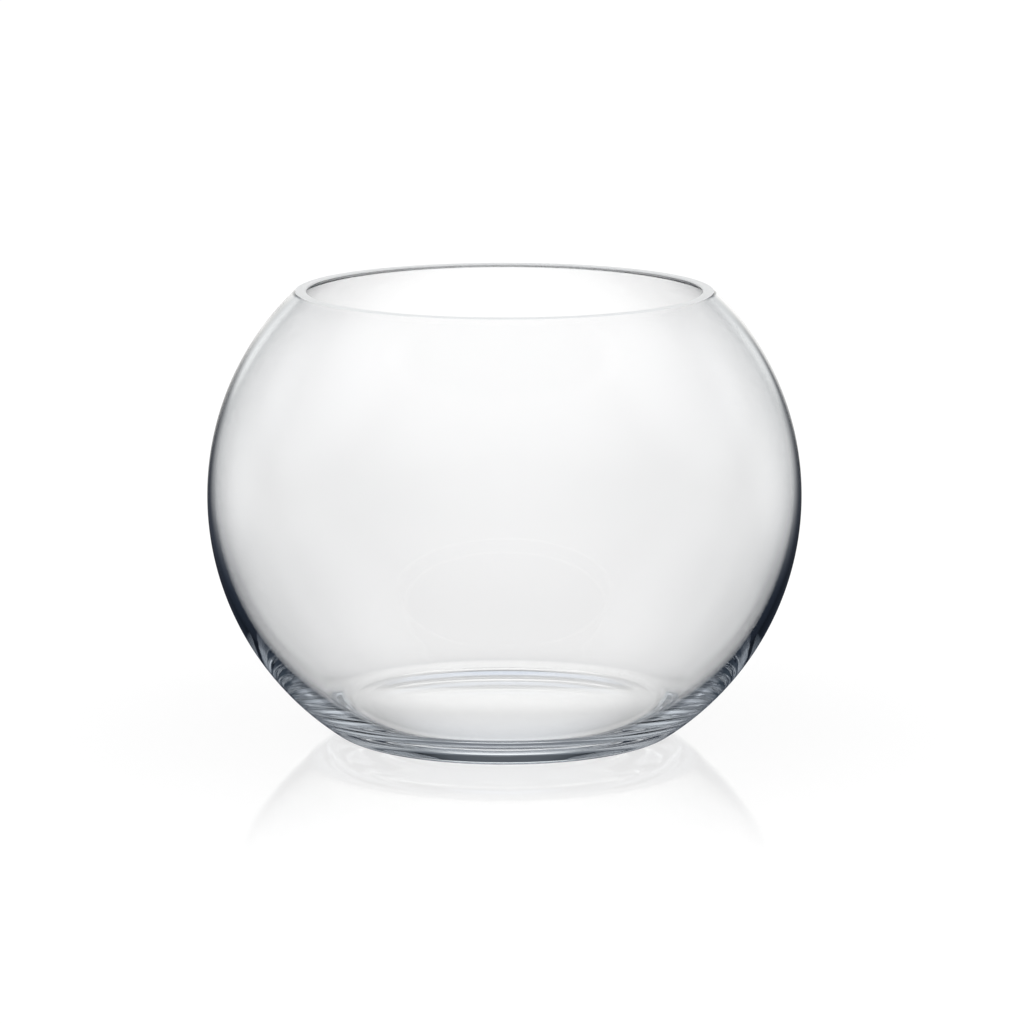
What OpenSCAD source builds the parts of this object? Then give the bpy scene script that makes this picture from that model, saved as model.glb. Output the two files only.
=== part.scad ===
// Rose bowl vase: one piece of clear blown glass. A near-round bowl, a little wider than it is deep,
// with a thin shoulder, a wall that thickens toward the heel, a heavy floor, a foot hollowed so that it
// stands on a ring, and a wide mouth cut off level, ground flat and bevelled at both edges.

/* [Bowl] */
// Greatest width, across the belly
bowl_w = 200; // [160:1:260]
// Height from the table to the ground lip
bowl_h = 150.8; // [135:0.2:165]
// Height of the widest point above the table
belly_h = 81.2; // [74:0.2:88]
// Radius of the curve from the belly up to the lip
shoulder_r = 95.4; // [88:0.2:100]
// Radius of the curve from the belly down to the heel
belly_r = 95.8; // [90:0.2:100]

/* [Wall and floor] */
// Wall thickness from the lip down to the belly
wall_t = 2.6; // [1.8:0.1:5]
// Wall thickness low on the side, 60 degrees below the belly
heel_wall_t = 5.6; // [3:0.1:7]
// Height of the inner floor above the table, at the middle
floor_h = 8.5; // [6.5:0.5:13]
// How far the inner floor dips in its middle, measured over the width of the foot
floor_dip = 0.4; // [0.2:0.1:3]
// Radius of the round between the inner floor and the wall
floor_round_r = 20; // [12:1:36]

/* [Foot] */
// Radius of the rolled heel
heel_r = 12; // [6:0.5:18]
// Width of the flat ring that the bowl stands on
ring_w = 4; // [2:0.5:8]
// Height of the hollow under the middle
hollow_h = 0.5; // [0.3:0.1:2.5]
// Radius of the inner edge of the standing ring
ring_edge_r = 12; // [3:0.5:20]

/* [Lip] */
// Width ground off the sharp inner edge of the lip, along each of its faces
inner_bevel = 0.6; // [0.2:0.1:1]
// Width ground off the blunt outer edge of the lip, along each of its faces
outer_bevel = 0.3; // [0.1:0.1:0.6]

/* [Hidden] */
$fn = 180;

glass_colour = [0.84, 0.91, 0.92, 0.45];
// How far a chord may leave the curve that it stands for
chord_error = 0.01;

bowl_r = bowl_w / 2;

// The outer curves are both upright at the belly, so they meet there without a crease
shoulder_c = [bowl_r - shoulder_r, belly_h];
belly_c = [bowl_r - belly_r, belly_h];

// The heel rolls inside the belly curve and touches both that curve and the table
heel_c = [belly_c.x + leg(belly_r - heel_r, belly_h - heel_r), heel_r];
heel_top = heading(belly_c, heel_c);

// Under the belly the inner curve has a shorter radius than the outer one, so the wall grows toward the heel
inner_shoulder_r = shoulder_r - wall_t;
inner_belly_r = belly_r + wall_t - 2 * heel_wall_t;
inner_belly_c = [bowl_r - wall_t - inner_belly_r, belly_h];

// The round at the floor's edge touches the wall's curve and the floor's dish from within
dish_r = (heel_c.x * heel_c.x + floor_dip * floor_dip) / (2 * floor_dip);
dish_c = [0, floor_h + dish_r];
round_c = meet(inner_belly_c, inner_belly_r - floor_round_r, dish_c, dish_r - floor_round_r);
round_top = heading(inner_belly_c, round_c);
round_end = heading(dish_c, round_c);

// The hollow is a very shallow dome whose rim rolls over onto the standing ring
ring_in = heel_c.x - ring_w;
ring_edge_c = [ring_in, ring_edge_r];
hollow_r = (ring_in * ring_in + hollow_h * hollow_h) / (2 * hollow_h) - ring_edge_r;
hollow_c = [0, hollow_h - hollow_r];
hollow_end = heading(hollow_c, ring_edge_c);

// Where the ground lip cuts the outer and the inner curve
lip_rise = bowl_h - belly_h;
lip_out = shoulder_c.x + leg(shoulder_r, lip_rise);
lip_in = shoulder_c.x + leg(inner_shoulder_r, lip_rise);
outer_end = asin(lip_rise / shoulder_r) - turn(outer_bevel, shoulder_r);
inner_end = asin(lip_rise / inner_shoulder_r) - turn(inner_bevel, inner_shoulder_r);

// Remaining leg of a right triangle
function leg(long_side, short_side) = sqrt(long_side * long_side - short_side * short_side);

// Direction from one point to another, in degrees
function heading(from, to) = atan2(to.y - from.y, to.x - from.x);

// Angle that a length along a curve turns through, in degrees
function turn(length, r) = length / r * 180 / PI;

// The lower right-hand point that lies at radius ra from point a and radius rb from point b
function meet(a, ra, b, rb) =
    let (
        gap = norm(b - a),
        along = (ra * ra - rb * rb + gap * gap) / (2 * gap),
        aside = leg(ra, along),
        dir = (b - a) / gap
    )
    a + along * dir + aside * [dir.y, -dir.x];

// Points along an arc between two angles, without the first, which ends the stretch before it
function arc(centre, r, from, to) =
    let (
        chord_turn = 2 * acos(1 - chord_error / r),
        steps = ceil(abs(to - from) / chord_turn)
    )
    [for (i = [1:steps]) let (a = from + (to - from) * i / steps) centre + r * [cos(a), sin(a)]];

// From the lip down the inside to the middle of the floor
inside_line = concat(
    [[lip_in + inner_bevel, bowl_h]],
    [shoulder_c + inner_shoulder_r * [cos(inner_end), sin(inner_end)]],
    arc(shoulder_c, inner_shoulder_r, inner_end, 0),
    arc(inner_belly_c, inner_belly_r, 0, round_top),
    arc(round_c, floor_round_r, round_top, round_end),
    arc(dish_c, dish_r, round_end, -90)
);

// From the middle of the hollow out to the standing ring
underside_line = concat(
    [[0, hollow_h]],
    arc(hollow_c, hollow_r, 90, hollow_end),
    arc(ring_edge_c, ring_edge_r, hollow_end - 180, -90)
);

// From the standing ring up the outside to the lip
outside_line = concat(
    [[heel_c.x, 0]],
    arc(heel_c, heel_r, -90, heel_top),
    arc(belly_c, belly_r, heel_top, 0),
    arc(shoulder_c, shoulder_r, 0, outer_end),
    [[lip_out - outer_bevel, bowl_h]]
);

module glass_bowl() {
    color(glass_colour)
        rotate_extrude()
            polygon(concat(inside_line, underside_line, outside_line));
}

glass_bowl();
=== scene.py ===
"""Rose bowl vase: one piece of clear blown glass on a glossy white table.

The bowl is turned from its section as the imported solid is, only finer and with the slight
waves that blown glass has. Lengths are in metres and angles in degrees unless a name says
otherwise.
"""

import logging
import math
from collections import defaultdict
from collections.abc import Iterable
from dataclasses import dataclass

import bpy
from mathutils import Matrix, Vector


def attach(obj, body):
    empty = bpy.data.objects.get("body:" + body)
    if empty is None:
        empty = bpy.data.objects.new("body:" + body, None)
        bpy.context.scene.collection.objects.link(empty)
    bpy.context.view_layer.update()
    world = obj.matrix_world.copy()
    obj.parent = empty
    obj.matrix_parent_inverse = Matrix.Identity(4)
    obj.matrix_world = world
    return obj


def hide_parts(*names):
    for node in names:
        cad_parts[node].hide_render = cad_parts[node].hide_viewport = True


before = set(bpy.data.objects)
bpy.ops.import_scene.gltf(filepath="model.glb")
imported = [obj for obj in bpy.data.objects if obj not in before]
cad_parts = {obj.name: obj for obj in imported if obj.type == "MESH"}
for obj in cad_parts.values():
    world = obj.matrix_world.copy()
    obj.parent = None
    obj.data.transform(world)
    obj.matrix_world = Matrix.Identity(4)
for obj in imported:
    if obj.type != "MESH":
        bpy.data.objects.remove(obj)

MM = 0.001
WHITE = (1.0, 1.0, 1.0, 1.0)
LIGHT_BOUNCES = 48
# A ray's bounces are a whole number, and this value tells one from none.
HALF_A_BOUNCE = 0.5
LOG = logging.getLogger("rose_bowl")


def heading(start: Vector, end: Vector) -> float:
    """Direction from one point of the section to another.

    Args:
        start: The first point.
        end: The second point.

    Returns:
        The direction in degrees, 0 straight out from the axis and 90 straight up.
    """
    return math.degrees(math.atan2(end.y - start.y, end.x - start.x))


def leg(long_side: float, short_side: float) -> float:
    """Remaining leg of a right triangle.

    Args:
        long_side: The side opposite the right angle.
        short_side: The known leg.

    Returns:
        The other leg.
    """
    return math.sqrt(long_side**2 - short_side**2)


def meet(a: Vector, radius_a: float, b: Vector, radius_b: float) -> Vector:
    """Lower right-hand point at set distances from two others.

    Args:
        a: The first point.
        radius_a: Distance from it.
        b: The second point.
        radius_b: Distance from that.

    Returns:
        The point.
    """
    gap = (b - a).length
    along = (radius_a**2 - radius_b**2 + gap**2) / (2 * gap)
    towards = (b - a) / gap
    return a + along * towards + leg(radius_a, along) * Vector((towards.y, -towards.x))


def ease(share: float) -> float:
    """Smooths a share, so that its change starts and ends gently.

    Args:
        share: The share, which is held between 0 and 1.

    Returns:
        The smoothed share.
    """
    held = min(max(share, 0), 1)
    return held * held * (3 - 2 * held)


@dataclass(frozen=True)
class Arc:
    """A round stretch of the section, from one heading to another about its own centre."""

    centre: Vector
    radius: float
    start: float
    end: float

    def point(self, at: float) -> Vector:
        """Place on the arc's circle.

        Args:
            at: The heading from the centre, in degrees.

        Returns:
            Distance from the axis and height.
        """
        turn = math.radians(at)
        return self.centre + self.radius * Vector((math.cos(turn), math.sin(turn)))

    def steps(self, chord_error: float) -> int:
        """Number of chords that follow the arc.

        Args:
            chord_error: How far a chord may leave the arc.

        Returns:
            The count, at least two.
        """
        chord_turn = 2 * math.degrees(math.acos(1 - chord_error / self.radius))
        return max(2, math.ceil(abs(self.end - self.start) / chord_turn))


@dataclass(frozen=True)
class BowlSection:
    """The bowl's section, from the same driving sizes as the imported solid."""

    bowl_w: float = 200 * MM
    bowl_h: float = 150.8 * MM
    belly_h: float = 81.2 * MM
    shoulder_r: float = 95.4 * MM
    belly_r: float = 95.8 * MM
    wall_t: float = 2.6 * MM
    heel_wall_t: float = 5.6 * MM
    floor_h: float = 8.5 * MM
    floor_dip: float = 0.4 * MM
    floor_round_r: float = 20 * MM
    heel_r: float = 12 * MM
    ring_w: float = 4 * MM
    hollow_h: float = 0.5 * MM
    ring_edge_r: float = 12 * MM
    inner_bevel: float = 0.6 * MM
    outer_bevel: float = 0.3 * MM

    @property
    def bowl_r(self) -> float:
        """Half of the greatest width."""
        return self.bowl_w / 2

    @property
    def lip_rise(self) -> float:
        """Height of the lip above the belly."""
        return self.bowl_h - self.belly_h

    @property
    def shoulder_centre(self) -> Vector:
        """Centre of both of the shoulder's curves."""
        return Vector((self.bowl_r - self.shoulder_r, self.belly_h))

    @property
    def belly_centre(self) -> Vector:
        """Centre of the outer curve under the belly."""
        return Vector((self.bowl_r - self.belly_r, self.belly_h))

    @property
    def heel_centre(self) -> Vector:
        """Centre of the rolled heel, which touches the belly's curve and the table."""
        reach = leg(self.belly_r - self.heel_r, self.belly_h - self.heel_r)
        return Vector((self.belly_centre.x + reach, self.heel_r))

    def lip_heading(self, radius: float, bevel: float) -> float:
        """Heading at which one of the shoulder's curves stops short of the lip.

        Args:
            radius: The curve's radius.
            bevel: What the bevel grinds off along the curve.

        Returns:
            The heading in degrees.
        """
        return math.degrees(math.asin(self.lip_rise / radius) - bevel / radius)

    def inside(self) -> list[Arc]:
        """Stretches from the middle of the floor up the inside to the lip."""
        shoulder_r = self.shoulder_r - self.wall_t
        belly_r = self.belly_r + self.wall_t - 2 * self.heel_wall_t
        belly_c = Vector((self.bowl_r - self.wall_t - belly_r, self.belly_h))
        dish_r = (self.heel_centre.x**2 + self.floor_dip**2) / (2 * self.floor_dip)
        dish_c = Vector((0, self.floor_h + dish_r))
        round_r = self.floor_round_r
        round_c = meet(belly_c, belly_r - round_r, dish_c, dish_r - round_r)
        round_start, round_end = heading(dish_c, round_c), heading(belly_c, round_c)
        lip_start = self.lip_heading(shoulder_r, self.inner_bevel)
        return [
            Arc(dish_c, dish_r, -90, round_start),
            Arc(round_c, round_r, round_start, round_end),
            Arc(belly_c, belly_r, round_end, 0),
            Arc(self.shoulder_centre, shoulder_r, 0, lip_start),
        ]

    def lip(self) -> list[Vector]:
        """Inner and outer edge of the flat ground ring."""
        centre_x = self.shoulder_centre.x
        inner = centre_x + leg(self.shoulder_r - self.wall_t, self.lip_rise) + self.inner_bevel
        outer = centre_x + leg(self.shoulder_r, self.lip_rise) - self.outer_bevel
        return [Vector((inner, self.bowl_h)), Vector((outer, self.bowl_h))]

    def outside(self) -> list[Arc]:
        """Stretches from the lip down the outside to the standing ring."""
        heel_top = heading(self.belly_centre, self.heel_centre)
        lip_end = self.lip_heading(self.shoulder_r, self.outer_bevel)
        return [
            Arc(self.shoulder_centre, self.shoulder_r, lip_end, 0),
            Arc(self.belly_centre, self.belly_r, 0, heel_top),
            Arc(self.heel_centre, self.heel_r, heel_top, -90),
        ]

    def underside(self) -> list[Arc]:
        """Stretches from the standing ring in to the middle of the hollow."""
        ring_in = self.heel_centre.x - self.ring_w
        edge_c = Vector((ring_in, self.ring_edge_r))
        dome_r = (ring_in**2 + self.hollow_h**2) / (2 * self.hollow_h) - self.ring_edge_r
        dome_c = Vector((0, self.hollow_h - dome_r))
        dome_end = heading(dome_c, edge_c)
        return [
            Arc(edge_c, self.ring_edge_r, -90, dome_end - 180),
            Arc(dome_c, dome_r, dome_end, 90),
        ]

    def outline(self) -> list[Arc | Vector]:
        """The whole section in one line, from the middle of the floor to the hollow's middle."""
        return [*self.inside(), *self.lip(), *self.outside(), *self.underside()]


@dataclass(frozen=True)
class Glass:
    """Clear soda-lime glass, with a cool tint that shows where a ray runs far through it."""

    name: str = "clear_glass"
    colour: tuple[float, float, float] = (1.0, 1.0, 1.0)
    ior: float = 1.5
    roughness: float = 0.0
    clearness: float = 1.0
    tint: tuple[float, float, float] = (0.82, 0.88, 0.95)
    tint_density: float = 4.0

    def material(self) -> bpy.types.Material:
        """Builds the finish.

        Returns:
            The material.
        """
        material = bpy.data.materials.new(self.name)
        material.use_nodes = True
        nodes, links = material.node_tree.nodes, material.node_tree.links
        shader = nodes["Principled BSDF"]
        shader.inputs["Base Color"].default_value = (*self.colour, 1)
        shader.inputs["Roughness"].default_value = self.roughness
        shader.inputs["IOR"].default_value = self.ior
        shader.inputs["Transmission Weight"].default_value = self.clearness
        absorption = nodes.new("ShaderNodeVolumeAbsorption")
        absorption.inputs["Color"].default_value = (*self.tint, 1)
        absorption.inputs["Density"].default_value = self.tint_density
        links.new(absorption.outputs["Volume"], nodes["Material Output"].inputs["Volume"])
        return material


@dataclass
class GlassBowl:
    """The bowl itself: its section drawn stretch by stretch, spun round and let wave a little."""

    section: BowlSection = BowlSection()
    finish: Glass = Glass()
    ground_finish: Glass = Glass(
        name="ground_glass", colour=(0.92, 0.93, 0.93), roughness=0.5, clearness=0.25
    )
    chord_error: float = 0.0022 * MM
    facets_round: int = 288
    weld_gap: float = 0.001 * MM
    crease: float = 30.0
    wave_height: float = 0.06 * MM
    wave_length: float = 45 * MM
    still_band: float = 12 * MM
    level_step: float = 0.1 * MM

    def build(self) -> bpy.types.Object:
        """Makes the bowl and dresses it.

        Returns:
            The finished piece.
        """
        bowl = self._draw_section()
        self._spin_round()
        self._wave(bowl)
        bpy.ops.object.shade_smooth_by_angle(angle=math.radians(self.crease))
        self._dress(bowl)
        return bowl

    def _draw_section(self) -> bpy.types.Object:
        """Draws the section: one corner, spun along each arc and extruded along each straight run.

        Returns:
            The object, in edit mode with its line of edges.
        """
        outline = self.section.outline()
        start = outline[0].point(outline[0].start)
        bpy.ops.object.select_all(action="DESELECT")
        bpy.ops.mesh.primitive_plane_add(size=MM, location=(start.x, 0, start.y))
        bpy.ops.object.transform_apply(location=True)
        bowl = bpy.context.active_object
        bowl.name = bowl.data.name = "bowl"
        bpy.ops.object.mode_set(mode="EDIT")
        bpy.ops.mesh.select_mode(type="VERT")
        bpy.ops.mesh.select_all(action="SELECT")
        bpy.ops.mesh.merge(type="CENTER")
        here = start
        for stretch in outline:
            if isinstance(stretch, Arc):
                self._straight(here, stretch.point(stretch.start))
                self._round(stretch)
                here = stretch.point(stretch.end)
            else:
                self._straight(here, stretch)
                here = stretch
        return bowl

    def _straight(self, start: Vector, end: Vector) -> None:
        """Extrudes the line's last corner along a straight run, if there is one.

        Args:
            start: Where the corner is.
            end: Where the run ends.
        """
        run = end - start
        if run.length > self.chord_error:
            bpy.ops.mesh.extrude_region_move(
                TRANSFORM_OT_translate={"value": (run.x, 0, run.y)}
            )

    def _round(self, arc: Arc) -> None:
        """Spins the line's last corner along an arc.

        Args:
            arc: The arc, which starts at the corner.
        """
        bpy.ops.mesh.spin(
            steps=arc.steps(self.chord_error),
            angle=math.radians(arc.end - arc.start),
            center=(arc.centre.x, 0, arc.centre.y),
            axis=(0, 1, 0),
        )

    def _spin_round(self) -> None:
        """Spins the section about the axis, closes seam and poles, and turns the faces out."""
        bpy.ops.mesh.select_all(action="SELECT")
        bpy.ops.mesh.spin(
            steps=self.facets_round, angle=2 * math.pi, center=(0, 0, 0), axis=(0, 0, 1)
        )
        bpy.ops.mesh.select_all(action="SELECT")
        bpy.ops.mesh.remove_doubles(threshold=self.weld_gap)
        bpy.ops.mesh.normals_make_consistent(inside=False)
        bpy.ops.object.mode_set(mode="OBJECT")

    def _wave(self, bowl: bpy.types.Object) -> None:
        """Lets the wall wave as blown glass does, and holds the ground lip and the foot still.

        Args:
            bowl: The spun bowl.
        """
        levels = defaultdict(list)
        for vertex in bowl.data.vertices:
            levels[round(vertex.co.z / self.level_step)].append(vertex.index)
        free_glass = bowl.vertex_groups.new(name="free_glass")
        for level, members in levels.items():
            height = level * self.level_step
            room = min(height - self.section.floor_h, self.section.bowl_h - height)
            free_glass.add(members, ease(room / self.still_band), "REPLACE")
        swell = bpy.data.textures.new("blown_swell", "CLOUDS")
        swell.noise_scale = self.wave_length
        swell.noise_depth = 0
        wave = bowl.modifiers.new("wave", "DISPLACE")
        wave.texture = swell
        wave.texture_coords = "LOCAL"
        wave.strength = self.wave_height
        wave.vertex_group = free_glass.name
        bpy.ops.object.modifier_apply(modifier=wave.name)

    def _dress(self, bowl: bpy.types.Object) -> None:
        """Gives the bowl its glass, and its lip and bevels the ground finish.

        Args:
            bowl: The waved bowl.
        """
        finishes = bowl.data.materials
        finishes.append(self.finish.material())
        finishes.append(self.ground_finish.material())
        ground_from = self.section.bowl_h - self.section.inner_bevel / 2
        for face in bowl.data.polygons:
            if face.center.z > ground_from:
                face.material_index = len(finishes) - 1


@dataclass(frozen=True)
class GlowStop:
    """One stop of the studio's dim surround, at a height on the sky and with its colour."""

    sine: float
    colour: tuple[float, float, float]

    @property
    def place(self) -> float:
        """Place on the colour ramp, from 0 straight down to 1 straight up."""
        return (self.sine + 1) / 2


@dataclass(frozen=True)
class GlowPatch:
    """One soft round patch of light on the sky, seen from the bowl.

    Azimuth 0 is behind the bowl and 90 is on its right, and the patch fades out between two radii.
    """

    azimuth: float
    elevation: float
    inner: float
    outer: float
    colour: tuple[float, float, float]

    @property
    def direction(self) -> tuple[float, float, float]:
        """Unit vector from the bowl towards the patch."""
        azimuth, elevation = math.radians(self.azimuth), math.radians(self.elevation)
        level = math.cos(elevation)
        return (math.sin(azimuth) * level, math.cos(azimuth) * level, math.sin(elevation))


@dataclass
class Studio:
    """Soft white studio: a white world, lights for mirror bounces, and a glossy white table.

    A lift is the light that the table gives off by itself: near the bowl, far from it, and
    wherever the camera sees it. The lower lift near the bowl is painted shade round the bowl,
    which shows where the table is seen through the glass. The reaches are where a change with
    the distance starts and ends.
    """

    table_size: float = 8.0
    table_drop: float = 0.05 * MM
    table_shade: tuple[float, float, float] = (0.12, 0.12, 0.12)
    # Lower than far_lift: painted shade round the bowl, for rays that are not camera rays.
    near_lift: float = 0.715
    far_lift: float = 0.88
    seen_lift: float = 0.935
    lift_reach: tuple[float, float] = (150 * MM, 480 * MM)
    table_roughness: float = 0.06
    table_ior: float = 1.45
    gloss_share: float = 0.75
    gloss_reach: tuple[float, float] = (90 * MM, 260 * MM)
    surround: tuple[GlowStop, ...] = (
        GlowStop(-1.0, (0.0, 0.0, 0.0)),
        GlowStop(-0.3, (0.025, 0.033, 0.05)),
        GlowStop(-0.1, (0.05, 0.054, 0.065)),
        GlowStop(0.1, (0.04, 0.055, 0.065)),
        GlowStop(0.6, (0.07, 0.08, 0.1)),
        GlowStop(1.0, (0.3, 0.31, 0.31)),
    )
    patches: tuple[GlowPatch, ...] = (
        GlowPatch(0, 4, 7, 18, (1.14, 1.13, 1.1)),
        GlowPatch(0, -36, 2, 8, (0.5, 0.57, 0.68)),
        GlowPatch(0, -62, 4, 19, (0.5, 0.59, 0.7)),
        GlowPatch(178, -53, 5, 79, (1.75, 1.73, 1.72)),
        GlowPatch(-44, 10, 1, 33, (0.66, 0.67, 0.67)),
        GlowPatch(44, 10, 1, 33, (0.7, 0.71, 0.71)),
        GlowPatch(-82, 32, 4, 35, (0.6, 0.61, 0.62)),
        GlowPatch(82, 32, 4, 35, (0.6, 0.61, 0.62)),
        GlowPatch(-21, 7, 2, 10, (0.46, 0.46, 0.46)),
        GlowPatch(21, 7, 2, 10, (0.36, 0.36, 0.36)),
    )

    def build(self) -> bpy.types.Object:
        """Sets the world and the table.

        Returns:
            The table.
        """
        self._world()
        return self._table()

    def _mirror_mask(self, tree: bpy.types.NodeTree) -> bpy.types.NodeSocket:
        """Tells rays that a sharp mirror bounce has turned from all the others.

        Args:
            tree: The node tree to build in.

        Returns:
            A socket with 1 for such rays and 0 for the others.
        """
        path = tree.nodes.new("ShaderNodeLightPath")
        bounced = tree.nodes.new("ShaderNodeMath")
        bounced.operation = "GREATER_THAN"
        bounced.inputs[1].default_value = HALF_A_BOUNCE
        tree.links.new(path.outputs["Glossy Depth"], bounced.inputs[0])
        sharp = tree.nodes.new("ShaderNodeMath")
        sharp.operation = "MULTIPLY"
        tree.links.new(bounced.outputs[0], sharp.inputs[0])
        tree.links.new(path.outputs["Is Singular Ray"], sharp.inputs[1])
        return sharp.outputs[0]

    def _world(self) -> None:
        """World that is plain white, and shows mirror bounces the dim surround and its patches.

        The ramp's own two ends stand for the surround's first and last stop.
        """
        world = bpy.data.worlds.new("studio")
        bpy.context.scene.world = world
        world.use_nodes = True
        tree = world.node_tree
        nodes, links = tree.nodes, tree.links
        place = nodes.new("ShaderNodeTexCoord")
        direction = place.outputs["Generated"]
        split = nodes.new("ShaderNodeSeparateXYZ")
        links.new(direction, split.inputs["Vector"])
        height = nodes.new("ShaderNodeMapRange")
        height.inputs["From Min"].default_value = -1
        links.new(split.outputs["Z"], height.inputs["Value"])
        ramp = nodes.new("ShaderNodeValToRGB")
        elements = ramp.color_ramp.elements
        for stop in self.surround[1:-1]:
            elements.new(stop.place)
        for element, stop in zip(elements, self.surround):
            element.color = (*stop.colour, 1)
        links.new(height.outputs["Result"], ramp.inputs["Fac"])
        glow = ramp.outputs["Color"]
        for patch in self.patches:
            glow = self._add_patch(tree, direction, glow, patch)
        choose = nodes.new("ShaderNodeMix")
        choose.data_type = "RGBA"
        choose.inputs["A"].default_value = WHITE
        links.new(self._mirror_mask(tree), choose.inputs["Factor"])
        links.new(glow, choose.inputs["B"])
        links.new(choose.outputs["Result"], nodes["Background"].inputs["Color"])

    def _add_patch(
        self,
        tree: bpy.types.NodeTree,
        direction: bpy.types.NodeSocket,
        glow: bpy.types.NodeSocket,
        patch: GlowPatch,
    ) -> bpy.types.NodeSocket:
        """Adds one patch of light to the glow.

        Args:
            tree: The node tree to build in.
            direction: The direction that the ray looks in.
            glow: The glow so far.
            patch: The patch.

        Returns:
            The glow with the patch.
        """
        facing = tree.nodes.new("ShaderNodeVectorMath")
        facing.operation = "DOT_PRODUCT"
        facing.inputs[1].default_value = patch.direction
        tree.links.new(direction, facing.inputs[0])
        fade = tree.nodes.new("ShaderNodeMapRange")
        fade.interpolation_type = "SMOOTHSTEP"
        fade.inputs["From Min"].default_value = math.cos(math.radians(patch.outer))
        fade.inputs["From Max"].default_value = math.cos(math.radians(patch.inner))
        tree.links.new(facing.outputs["Value"], fade.inputs["Value"])
        total = tree.nodes.new("ShaderNodeVectorMath")
        total.operation = "MULTIPLY_ADD"
        total.inputs[1].default_value = patch.colour
        tree.links.new(fade.outputs["Result"], total.inputs[0])
        tree.links.new(glow, total.inputs[2])
        return total.outputs["Vector"]

    def _by_distance(
        self,
        tree: bpy.types.NodeTree,
        reach: tuple[float, float],
        near: float,
        far: float,
    ) -> bpy.types.NodeSocket:
        """Value that changes smoothly with the distance from the middle of the table.

        Args:
            tree: The node tree to build in.
            reach: Distances at which the change starts and ends.
            near: The value up to the first.
            far: The value from the second.

        Returns:
            A socket with the value.
        """
        place = tree.nodes.new("ShaderNodeTexCoord")
        away = tree.nodes.new("ShaderNodeVectorMath")
        away.operation = "LENGTH"
        tree.links.new(place.outputs["Object"], away.inputs[0])
        change = tree.nodes.new("ShaderNodeMapRange")
        change.interpolation_type = "SMOOTHSTEP"
        change.inputs["From Min"].default_value = reach[0]
        change.inputs["From Max"].default_value = reach[1]
        change.inputs["To Min"].default_value = near
        change.inputs["To Max"].default_value = far
        tree.links.new(away.outputs["Value"], change.inputs["Value"])
        return change.outputs["Result"]

    def _table(self) -> bpy.types.Object:
        """Glossy white table that fills the view.

        Returns:
            The table.
        """
        bpy.ops.object.select_all(action="DESELECT")
        bpy.ops.mesh.primitive_plane_add(size=self.table_size, location=(0, 0, -self.table_drop))
        bpy.ops.object.transform_apply(location=True)
        table = bpy.context.active_object
        table.name = "table"
        material = bpy.data.materials.new("glossy_white")
        material.use_nodes = True
        tree = material.node_tree
        nodes, links = tree.nodes, tree.links
        matte = nodes["Principled BSDF"]
        matte.inputs["Base Color"].default_value = (*self.table_shade, 1)
        matte.inputs["Specular IOR Level"].default_value = 0
        matte.inputs["Emission Color"].default_value = WHITE
        path = nodes.new("ShaderNodeLightPath")
        lift = nodes.new("ShaderNodeMix")
        lift.inputs["B"].default_value = self.seen_lift
        links.new(path.outputs["Is Camera Ray"], lift.inputs["Factor"])
        # The lift falls near the bowl: painted shade round the bowl, seen through the glass.
        lift_with_painted_shade = self._by_distance(tree, self.lift_reach, self.near_lift, self.far_lift)
        links.new(lift_with_painted_shade, lift.inputs["A"])
        links.new(lift.outputs["Result"], matte.inputs["Emission Strength"])
        gloss = nodes.new("ShaderNodeBsdfGlossy")
        gloss.inputs["Roughness"].default_value = self.table_roughness
        slant = nodes.new("ShaderNodeFresnel")
        slant.inputs["IOR"].default_value = self.table_ior
        share = nodes.new("ShaderNodeMath")
        share.operation = "MULTIPLY"
        faded_gloss = self._by_distance(tree, self.gloss_reach, self.gloss_share, 0.0)
        links.new(faded_gloss, share.inputs[0])
        links.new(slant.outputs["Fac"], share.inputs[1])
        polished = nodes.new("ShaderNodeMixShader")
        links.new(share.outputs["Value"], polished.inputs["Fac"])
        links.new(matte.outputs["BSDF"], polished.inputs[1])
        links.new(gloss.outputs["BSDF"], polished.inputs[2])
        unseen = nodes.new("ShaderNodeBsdfTransparent")
        choose = nodes.new("ShaderNodeMixShader")
        links.new(self._mirror_mask(tree), choose.inputs["Fac"])
        links.new(polished.outputs["Shader"], choose.inputs[1])
        links.new(unseen.outputs["BSDF"], choose.inputs[2])
        links.new(choose.outputs["Shader"], nodes["Material Output"].inputs["Surface"])
        table.data.materials.append(material)
        return table


@dataclass
class Camera:
    """The photograph's viewpoint: a long lens, about ten degrees down from level."""

    distance: float = 1.8
    height: float = 0.3949
    pitch_down: float = 10.07
    lens_mm: float = 190.72
    sensor_mm: float = 36.0
    shift_x: float = 0.00737
    clip_near: float = 0.05
    clip_far: float = 50.0

    def build(self) -> None:
        """Adds the camera and makes it the scene's."""
        bpy.ops.object.select_all(action="DESELECT")
        bpy.ops.object.camera_add(
            location=(0, -self.distance, self.height),
            rotation=(math.radians(90 - self.pitch_down), 0, 0),
        )
        camera = bpy.context.active_object
        camera.data.lens = self.lens_mm
        camera.data.sensor_width = self.sensor_mm
        camera.data.shift_x = self.shift_x
        camera.data.clip_start = self.clip_near
        camera.data.clip_end = self.clip_far
        bpy.context.scene.camera = camera


def set_quality(scene: bpy.types.Scene) -> None:
    """Sets the view transform and enough light bounces for a thick glass heel.

    Args:
        scene: The scene.
    """
    scene.view_settings.view_transform = "Standard"
    scene.cycles.max_bounces = LIGHT_BOUNCES
    scene.cycles.transmission_bounces = LIGHT_BOUNCES
    scene.cycles.glossy_bounces = LIGHT_BOUNCES


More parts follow.
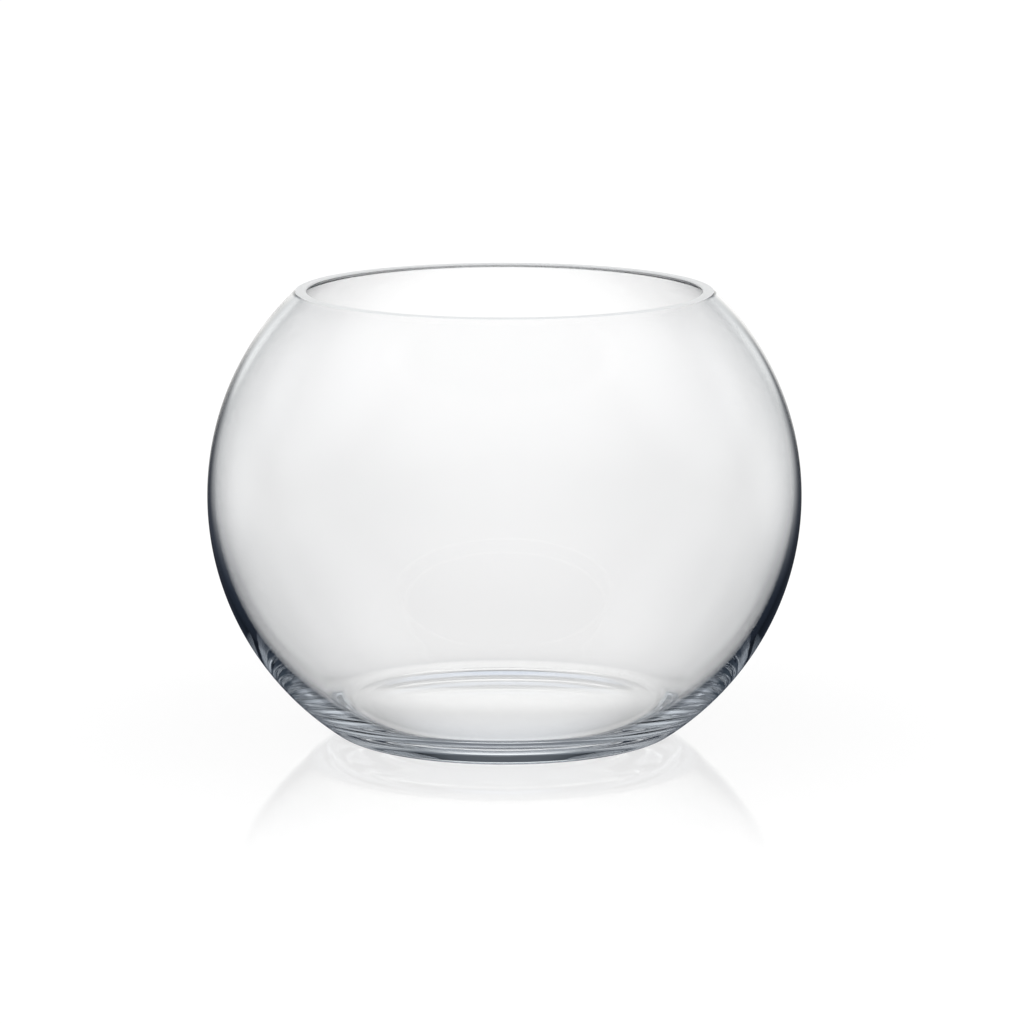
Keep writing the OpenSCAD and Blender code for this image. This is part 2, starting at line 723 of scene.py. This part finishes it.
def main() -> None:
    """Builds the bowl, the studio and the camera in turn, and logs the bowl's face count."""
    logging.basicConfig(level=logging.INFO, format="%(name)s: %(message)s")
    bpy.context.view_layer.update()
    bowl = GlassBowl().build()
    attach(bowl, "root")
    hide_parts("glass_bowl")
    LOG.info("bowl: %d faces", len(bowl.data.polygons))
    Studio().build()
    LOG.info("studio: white world and glossy table")
    Camera().build()
    set_quality(bpy.context.scene)
    LOG.info("camera set")


if __name__ == "__main__":
    main()
